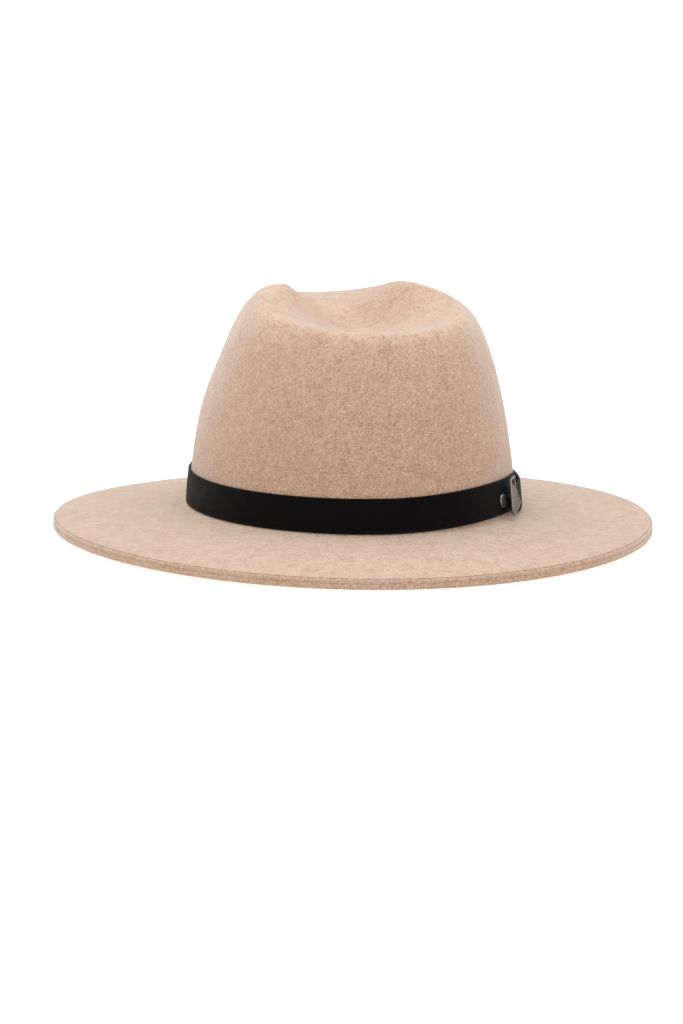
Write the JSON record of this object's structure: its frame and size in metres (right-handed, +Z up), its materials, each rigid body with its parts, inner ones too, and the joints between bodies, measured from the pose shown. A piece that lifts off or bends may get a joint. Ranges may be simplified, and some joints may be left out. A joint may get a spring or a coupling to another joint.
{
  "type": "fedora hat",
  "caption": "Wide-brimmed felt fedora with a teardrop-creased crown, front pinches, a plain leather band with a rivet and a metal plate, and an inner sweatband.",
  "frame": {"origin": "centre of the footprint at the level of the lowest point of the brim", "axes": "+X to the wearer's front, +Y to the wearer's left, +Z up"},
  "size_m": [0.3506, 0.3166, 0.1302],
  "materials": {
    "wool_felt": "melange wool felt, matte",
    "band_leather": "matte black",
    "dark_metal": "darkened, satin",
    "sweatband_leather": "smooth black",
    "reed": "cloth-covered plastic reed",
    "thread": "waxed thread",
    "ribbon": "satin ribbon",
    "label": "plain woven"
  },
  "bodies": {
    "hat": {"felt_body": "wool_felt", "brim_welt": "wool_felt", "sweatband": "sweatband_leather", "sweatband_reed": "reed", "sweatband_stitching": "thread", "sweatband_bow": "ribbon", "size_label": "label"},
    "band": {"hat_band": "band_leather", "rivet_cap": "dark_metal", "rivet_post": "dark_metal", "ornament_plate": "dark_metal", "ornament_stud": "dark_metal"}
  },
  "joints": [
    {"name": "band_lift", "type": "slide", "parent": "hat", "child": "band", "axis": [0, 0, 1], "range_m": [0, 0.125]}
  ]
}
